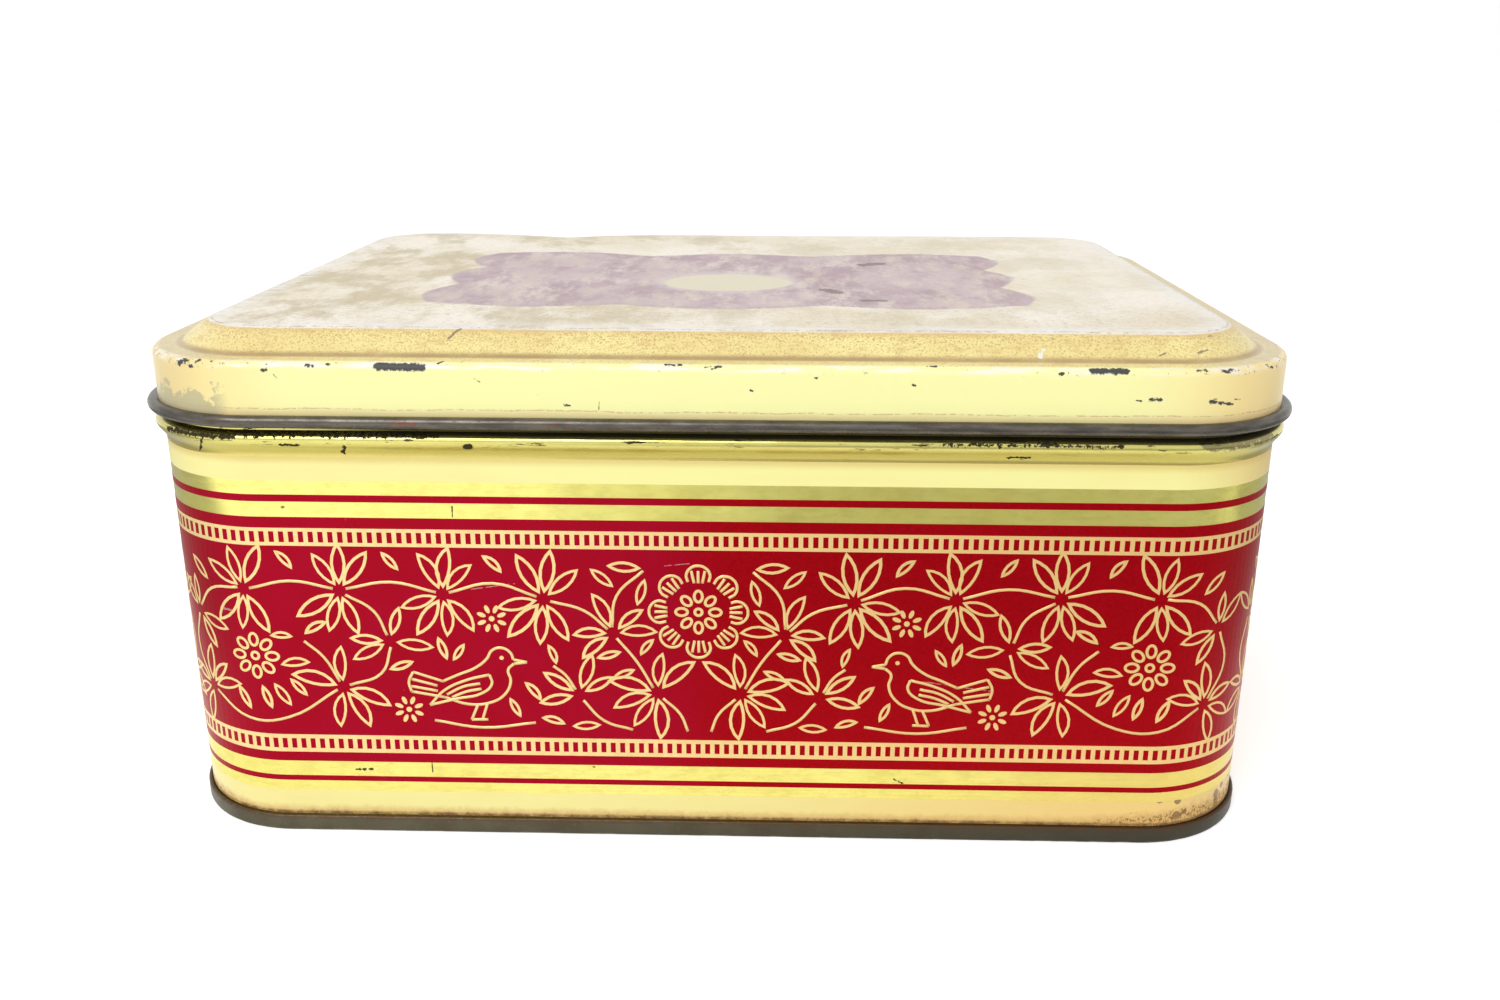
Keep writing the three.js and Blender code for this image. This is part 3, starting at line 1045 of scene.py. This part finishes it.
ornament.data.materials.append(pale_gold)
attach(ornament, "box")

# Base
# One plain sheet: a floor with a shallow pressed panel, a wall that goes down inside the strip, and
# an edge that is rolled up and over the hook of the wall, so that the box stands on the roll.
floor_height = 0.0035
floor_bend = 0.0009
panel_inset = 0.009
panel_slope = 0.0016
panel_drop = 0.0008
panel_bend = 0.0008
seam_bend = 0.0003
chuck_line = wall_line - layer
seam_face = wall_line + layer * 3
base_bends = (panel_bend, panel_bend, floor_bend, seam_bend, seam_bend)
panel_shares = (0.8, 0.75, 0.66, 0.5, 0.4)


def fill_middle(piece, shares, height):
    """Closes the open middle of a pressed sheet with rings that each shrink by a share."""
    take_up(piece, edit=True)
    bpy.ops.mesh.remove_doubles(threshold=seam_gap / 50)
    bpy.ops.mesh.select_mode(type="VERT")
    bpy.ops.mesh.select_all(action="DESELECT")
    bpy.ops.mesh.select_non_manifold(extend=False)
    close_mesh()
    for point in piece.data.vertices:
        point.select = point.select and abs(point.co.z - height) < seam_gap / 5
    open_mesh()
    for share in shares:
        bpy.ops.mesh.extrude_region()
        bpy.ops.transform.resize(value=(share, share, 1), center_override=(0, 0, height))
    bpy.ops.mesh.edge_face_add()
    bpy.ops.mesh.poke()
    face_outwards(piece)


floor_line = floor_height - tinplate / 2
panel_line = floor_line - panel_drop
panel_edge = chuck_line - panel_inset
panel_foot = Vector((panel_edge - panel_slope, panel_line))
panel_head = Vector((panel_edge, floor_line))
floor_edge = Vector((chuck_line, floor_line))
inner_foot = Vector((chuck_line, tinplate / 2))
outer_foot = Vector((seam_face, tinplate / 2))
roll_middle = Vector((hook_end_line, seam_height - tinplate / 2 - layer))
roll_start = roll_middle + Vector((layer, 0))
place = Vector((panel_foot.x - panel_bend, panel_line))
base = start_section("base_sheet", place, -half_around)
base_corners = (panel_foot, panel_head, floor_edge, inner_foot, outer_foot, roll_start)
place = follow_bends(place, base_corners, base_bends)
place = run_section(place, roll_start)
place = turn_section(place, roll_middle, math.pi, bend_steps)
run_section(place, Vector((hook_line, layer * 2 + hook_spare)))
lay_out()
wrap_round(base)
fill_middle(base, panel_shares, panel_line)

dark_tin, shader = new_paint("dark_tin")
place = box_place(shader)
along, _, height = split(place)
age = cloud(place, 0.09, 5, 0.6)
fine = cloud(place, 1.4, 5, 0.7)
rubs = cloud(place * (0.25, 0.25, 1), 1.0, 5)
dark = stain((0.115, 0.105, 0.072), ramp(age, 0.3, 0.7), (0.085, 0.072, 0.045))
dark = stain(dark, ramp(fine, 0.55, 0.75, 0, 0.6), (0.19, 0.165, 0.12))
dark = stain(dark, ramp(along, -70, 95, 0, 0.75), (0.042, 0.036, 0.025))
dark = stain(dark, ramp(height, 2.3, 3.1) * ramp(fine, 0.35, 0.6) * 0.8, (0.11, 0.045, 0.016))
dark = stain(dark, ramp(height, 0.5, 0.05) * ramp(rubs, 0.5, 0.62) * 0.7, (0.42, 0.38, 0.30))
fill(shader, {"Base Color": dark, "Metallic": 0.85, "Roughness": ramp(fine, 0.2, 0.8, 0.34, 0.55),
              "Normal": relief(fine, 0.25, mm * 0.1)})
base.data.materials.append(dark_tin)
base.data.materials.append(plain_tin)
thicken(base)
bpy.ops.object.shade_smooth_by_angle(angle=smooth_turn)
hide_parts("base_plate")
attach(base, "box")

# Lid
# One sheet, pressed to a raised crown that slopes down to a ledge, with a skirt that hangs round
# the neck of the wall. The lower edge of the skirt is rolled outwards, and the roll is bare metal.
# Its print is worn: ivory with a faded cartouche on the crown, amber on the slope, yellow below.
ledge_height = 0.0929
ledge_width = 0.0049
slope_width = 0.0056
crown_rise = 0.0043
crown_bend = 0.004
crease_bend = 0.0016
edge_bend = 0.0014
lid_bends = (crown_bend, crease_bend, edge_bend)
skirt_drop = 0.0117
lid_curl = 0.0022
lid_play = 0.0004
crown_shares = (0.975, 0.97, 0.965, 0.96, 0.955, 0.95, 0.945, 0.94, 0.93, 0.92, 0.91, 0.9, 0.88, 0.86,
                0.83, 0.8, 0.75, 0.65, 0.5)
crown_middle = Vector((0, 0))
crown_sag = 0.0009
sag_reach = 0.085
dent_place = Vector((-0.042, 0.0655))
dent_depth = 0.0009
dent_reach = 0.02


def press_down(piece, middle, reach, depth):
    """Presses one place of a sheet down by hand, with a soft edge round it."""
    take_up(piece, edit=True)
    bpy.ops.mesh.select_all(action="DESELECT")
    close_mesh()
    upper = [point for point in piece.data.vertices if point.co.z > ledge_line]
    nearest = min(upper, key=lambda point: (point.co.xy - middle).length)
    nearest.select = True
    open_mesh()
    bpy.ops.transform.translate(value=(0, 0, -depth), use_proportional_edit=True,
                                use_proportional_connected=False, proportional_size=reach,
                                proportional_edit_falloff="SMOOTH")
    close_mesh()


skirt_line = lid_play + tinplate / 2
crease_place = lid_play + tinplate - ledge_width
lid_curl_radius = (lid_curl - tinplate) / 2
lid_curl_middle = Vector((skirt_line + lid_curl_radius, ledge_height - skirt_drop + lid_curl / 2))
ledge_line = ledge_height - tinplate / 2
crown_line = ledge_line + crown_rise
crown_edge = Vector((crease_place - slope_width, crown_line))
crease = Vector((crease_place, ledge_line))
ledge_edge = Vector((skirt_line, ledge_line))
skirt_foot = Vector((skirt_line, lid_curl_middle.y))
place = Vector((crown_edge.x - crown_bend, crown_line))
lid = start_section("lid_cover", place, -half_around)
place = follow_bends(place, (crown_edge, crease, ledge_edge, skirt_foot), lid_bends)
place = run_section(place, skirt_foot)
turn_section(place, lid_curl_middle, curl_turn, curl_steps)
lay_out()
roll_top = lid_curl_middle.y + lid_curl_radius * 1.01
for face in lid.data.polygons:
    stand = -half_depth - face.center.y
    face.material_index = 2 if stand > skirt_line + seam_gap / 10 and face.center.z < roll_top else 0
wrap_round(lid)
fill_middle(lid, crown_shares, crown_line)
press_down(lid, crown_middle, sag_reach, crown_sag)
press_down(lid, dent_place, dent_reach, dent_depth)

# How far a place stands off the wall of the box, in millimetres
stand_group, (place,) = start_group("stand_off", {"Place": "Vector"}, "Stand")
corner = ((half_length - corner_radius) / mm, (half_depth - corner_radius) / mm, 0)
beyond = abs(place) - corner
outside = calculate("MAXIMUM", beyond * (1, 1, 0), (0, 0, 0))
along, back, _ = split(beyond)
outside = calculate("LENGTH", outside, output="Value")
end_group(stand_group, outside + lower(higher(along, back), 0.0) - corner_radius / mm)

# Grime spots and threads on the crown, a pale chip on the slope, and the knocks along the edge
# between the ledge and the skirt, which go down to the black steel
crown_spots = (
    (21.5, -20.0, 96.4, 24.0, -24.0, 96.4, 1.7, 1.2), (31.5, 16.0, 96.4, 35.0, 17.5, 96.4, 2.0, 1.6),
    (29.0, -34.5, 96.5, 32.5, -35.0, 96.5, 1.2, 1.0), (-47.0, -69.8, 95.6, -45.2, -67.8, 97.0, 0.28, 0.3),
    (78.5, -72.0, 93.9, 88.6, -66.9, 96.5, 0.17, 0.2), (85.4, -71.1, 94.3, 87.2, -70.2, 94.6, 0.22, 0.3))
slope_chips = ((57.6, -72.3, 93.6, 58.3, -71.0, 94.6, 0.35, 0.5),)
edge_knocks = (
    (-57.6, -77.9, 92.2, -50.0, -77.9, 92.1, 0.75, 0.5), (65.8, -77.8, 92.5, 71.3, -77.8, 92.5, 0.65, 0.5),
    (-94.0, -74.8, 92.0, -92.0, -75.6, 92.5, 0.5, 0.9), (-91.4, -76.2, 91.5, -91.0, -76.3, 91.6, 0.3, 0.4),
    (-90.2, -76.4, 92.5, -89.6, -76.2, 92.7, 0.32, 0.5), (-77.8, -78.1, 91.4, -77.4, -78.1, 91.4, 0.32, 0.4),
    (-70.3, -78.1, 92.3, -69.0, -78.1, 92.3, 0.3, 0.5), (-66.6, -77.9, 92.5, -66.2, -77.9, 92.5, 0.3, 0.4),
    (-47.2, -77.4, 92.7, -46.6, -76.8, 92.9, 0.25, 0.3), (-41.1, -78.1, 90.3, -40.0, -78.1, 89.6, 0.07, 0.1),
    (-7.6, -77.3, 92.8, -5.0, -77.3, 92.8, 0.25, 0.6), (-0.8, -77.7, 92.6, 1.6, -77.7, 92.6, 0.28, 0.7),
    (-25.3, -78.1, 85.6, -24.6, -78.1, 85.5, 0.22, 0.4), (-19.3, -78.1, 86.3, -19.4, -78.1, 84.9, 0.07, 0.06),
    (37.5, -77.1, 92.9, 39.0, -77.1, 92.9, 0.25, 0.4), (60.0, -78.1, 91.9, 60.6, -78.1, 91.9, 0.25, 0.4),
    (83.8, -77.5, 92.6, 85.4, -77.5, 92.6, 0.25, 0.5), (88.4, -77.0, 92.5, 91.0, -76.2, 92.5, 0.3, 0.6),
    (97.8, -72.2, 92.2, 98.8, -71.4, 92.0, 0.3, 0.6), (75.8, -78.1, 87.5, 77.7, -78.1, 87.5, 0.25, 0.5),
    (86.4, -77.7, 87.1, 90.6, -76.5, 86.5, 0.2, 0.5), (87.0, -77.5, 87.6, 92.0, -76.0, 87.2, 0.08, 0.2),
    (73.2, -78.1, 87.3, 74.4, -78.1, 87.3, 0.12, 0.3), (7.0, -78.1, 88.6, 7.4, -78.1, 88.4, 0.13, 0.2),
    (35.0, -78.1, 89.8, 35.4, -78.1, 89.7, 0.15, 0.3), (-90.0, -76.4, 90.4, -89.6, -76.4, 89.9, 0.09, 0.1),
    (-76.0, -78.1, 90.6, -75.5, -78.1, 90.0, 0.09, 0.1), (18.0, -78.1, 90.9, 18.5, -78.1, 90.8, 0.13, 0.3))
curl_rust = ((-55.0, -80.3, 82.5, -52.0, -80.3, 82.5, 0.45, 1.6),
             (-29.0, -80.3, 82.6, -24.0, -80.3, 82.4, 0.15, 1.0))

lid_print, shader = new_paint("lid_print")
place = box_place(shader)
along, back, height = split(place)
aside = abs(along)
stand = use_group(stand_group, {"Place": place})
broad = cloud(place, 0.035, 6, 0.6)
patchy = cloud(place * (1, 0.5, 1), 0.075, 7, 0.68)
fine = cloud(place, 0.9, 6, 0.75)
rubs = cloud(place * (0.12, 0.7, 1), 0.8, 6, 0.7)
threads = cloud(place * (0.6, 1.0, 1), 1.0, 6, 0.75)
grains = cloud(place * (0.6, 1.4, 1), 2.2, 4, 0.8)
front_dirt = ramp(back, -20, -62, 0.35, 1.0)
ivory = stain((0.86, 0.77, 0.59), ramp(broad, 0.38, 0.62), (0.98, 0.91, 0.79))
ivory = stain(ivory, ramp(patchy, 0.44, 0.62) * ramp(along, 90, -95, 0.25, 0.85), (0.60, 0.51, 0.32))
ivory = stain(ivory, ramp(fine, 0.52, 0.66, 0, 0.30), (0.52, 0.42, 0.28))
ivory = stain(ivory, ramp(threads, 0.53, 0.66, 0, 0.6) * front_dirt, (0.47, 0.39, 0.29))

# The faded cartouche, with a scalloped edge and a pale oval in the middle
wave_along = abs(calculate("COSINE", along * (math.pi / 40)))
wave_back = abs(calculate("COSINE", (back + 6) * (math.pi / 25)))
to_side = wave_back * 4.5 + 58.0 - abs(along - 1.0)
to_end = wave_along * 4.5 + 35.0 - abs(back + 6)
rim = lower(to_side, to_end) + (patchy - 0.5) * 4.0
washed = ramp(cloud(place * (1, 0.35, 1), 0.22, 6, 0.7), 0.66, 0.42, 0.45, 0.95)
mauve = stain((0.44, 0.30, 0.35), ramp(patchy, 0.38, 0.62), (0.63, 0.50, 0.52))
mauve = stain(mauve, ramp(rim, 4.5, 0.5, 0, 0.45), (0.45, 0.33, 0.38))
ivory = stain(ivory, ramp(rim, -0.4, 0.9) * washed, mauve)
across = place * (1 / 14.5, 1 / 12.5, 0)
oval = calculate("DISTANCE", across, (0.02, -10.0 / 12.5, 0), output="Value") + patchy * 0.25
ivory = stain(ivory, ramp(oval, 1.42, 1.15, 0, 0.35), (0.78, 0.70, 0.70))
ivory = stain(ivory, ramp(oval, 1.14, 1.03, 0, 0.9), (0.80, 0.74, 0.55))
ivory = stain(ivory, ramp(grains, 0.57, 0.63, 0, 0.7) * front_dirt, (0.36, 0.28, 0.20))

# Whitish scuffs and a dark line along the crest, where the crown ends
crest_line = ramp(abs(stand + (rubs * 1.2 + 9.6)), 0.30, 0.05) * ramp(fine, 0.44, 0.56, 0, 0.6)
ivory = stain(ivory, ramp(stand, -17.0, -10.5) * ramp(rubs, 0.40, 0.58) * 0.8, (0.90, 0.88, 0.85))
ivory = stain(ivory, crest_line, (0.40, 0.30, 0.20))

# The slope, with grit and drips, and dirt and painted shade in its crease
grit = cloud(place, 2.6, 4, 0.8) + ramp(stand, -6, -10, 0, 0.04)
drips = cloud(place * (0.7, 0.7, 2.2), 0.35, 6, 0.75)
# Partly dirt, partly painted shade: a brown line along the crease between the slope and the ledge
crease_dirt_and_shade = ramp(abs(stand + 4.3), 1.15, 0.15) * ramp(patchy, 0.2, 0.6, 0.50, 0.90)
amber = stain((0.95, 0.83, 0.36), ramp(broad, 0.35, 0.65), (0.88, 0.72, 0.29))
amber = stain(amber, ramp(grit, 0.54, 0.60, 0, 0.85), (0.50, 0.31, 0.12))
amber = stain(amber, ramp(stand, -8.0, -9.9) * ramp(patchy, 0.35, 0.6), (0.74, 0.50, 0.20))
amber = stain(amber, ramp(drips, 0.50, 0.64, 0, 0.6), (0.72, 0.50, 0.19))
crown = stain(amber, ramp(stand + rubs * 0.8, -8.9, -9.4), ivory)
crown = stain(crown, crease_dirt_and_shade, (0.42, 0.27, 0.11))
crown = stain(crown, ramp(aside, 78, 98) * ramp(stand, -5.5, -2.5, 0, 0.5), (0.52, 0.42, 0.27))

# The skirt, stained along its foot and worn thin at the front left corner
low_stain = height + patchy * 1.4
stain_line = ramp(abs(low_stain - 85.2), 0.16, 0.02) * ramp(fine, 0.42, 0.56, 0, 0.7)
worn_corner = (ramp(along, -84, -88) * ramp(back, -20, -50, 0.3, 1)
               * ramp(height + cloud(place, 0.22, 6, 0.7) * 16.0, 95.2, 94.6))
yellow = stain((0.99, 0.97, 0.44), ramp(aside, 70, 97), (0.97, 0.76, 0.33))
yellow = stain(yellow, ramp(along, -84, -98, 0, 0.5), (0.74, 0.60, 0.28))
yellow = stain(yellow, ramp(low_stain, 85.6, 84.5, 0, 0.5), (0.82, 0.60, 0.30))
yellow = stain(yellow, stain_line, (0.55, 0.33, 0.14))
yellow = stain(yellow, worn_corner * 0.8, (0.50, 0.46, 0.27))

edge = ramp(stand, -1.3, 0.2) * ramp(height, 91.2, 92.2)
chips = edge * ramp(fine + ramp(aside, 60, 100, 0, 0.04), 0.63, 0.65)
knocks = higher(add_marks(place, edge_knocks), chips)
coat = stain(crown, ramp(stand, -0.9, -0.1), yellow)
coat = stain(coat, edge * ramp(rubs, 0.46, 0.60, 0, 0.85), (0.93, 0.91, 0.84))
coat = stain(coat, add_marks(place, crown_spots) * 0.8, (0.19, 0.13, 0.10))
coat = stain(coat, add_specks(place, 0.6, 0.06) * 0.85, (0.28, 0.17, 0.07))
coat = stain(coat, add_marks(place, slope_chips), (0.90, 0.90, 0.84))
coat = stain(coat, knocks, (0.05, 0.05, 0.052))
surface = fine * 0.05 - knocks * 0.12 + broad * 0.9
fill(shader, {"Base Color": coat, "Normal": relief(surface, 0.6, mm),
              "Roughness": higher(ramp(stand, -8.8, -9.8, 0.3, 0.55), knocks * 0.5)})

curl_steel, shader = new_paint("curl_steel")
place = box_place(shader)
fine = cloud(place, 1.2, 6, 0.7)
drawn = cloud(place * (0.15, 0.15, 1), 1.0, 4)
steel = stain((0.085, 0.076, 0.064), ramp(drawn, 0.35, 0.65), (0.14, 0.126, 0.105))
steel = stain(steel, ramp(fine, 0.56, 0.70, 0, 0.8), (0.10, 0.045, 0.022))
steel = stain(steel, add_marks(place, curl_rust) * 0.5, (0.26, 0.05, 0.035))
fill(shader, {"Base Color": steel, "Metallic": 0.9, "Roughness": ramp(fine, 0.2, 0.8, 0.22, 0.42)})

for paint in (lid_print, plain_tin, curl_steel, curl_steel):
    lid.data.materials.append(paint)
thicken(lid)
bpy.ops.object.shade_smooth_by_angle(angle=smooth_turn)
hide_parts("lid")
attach(lid, "lid")
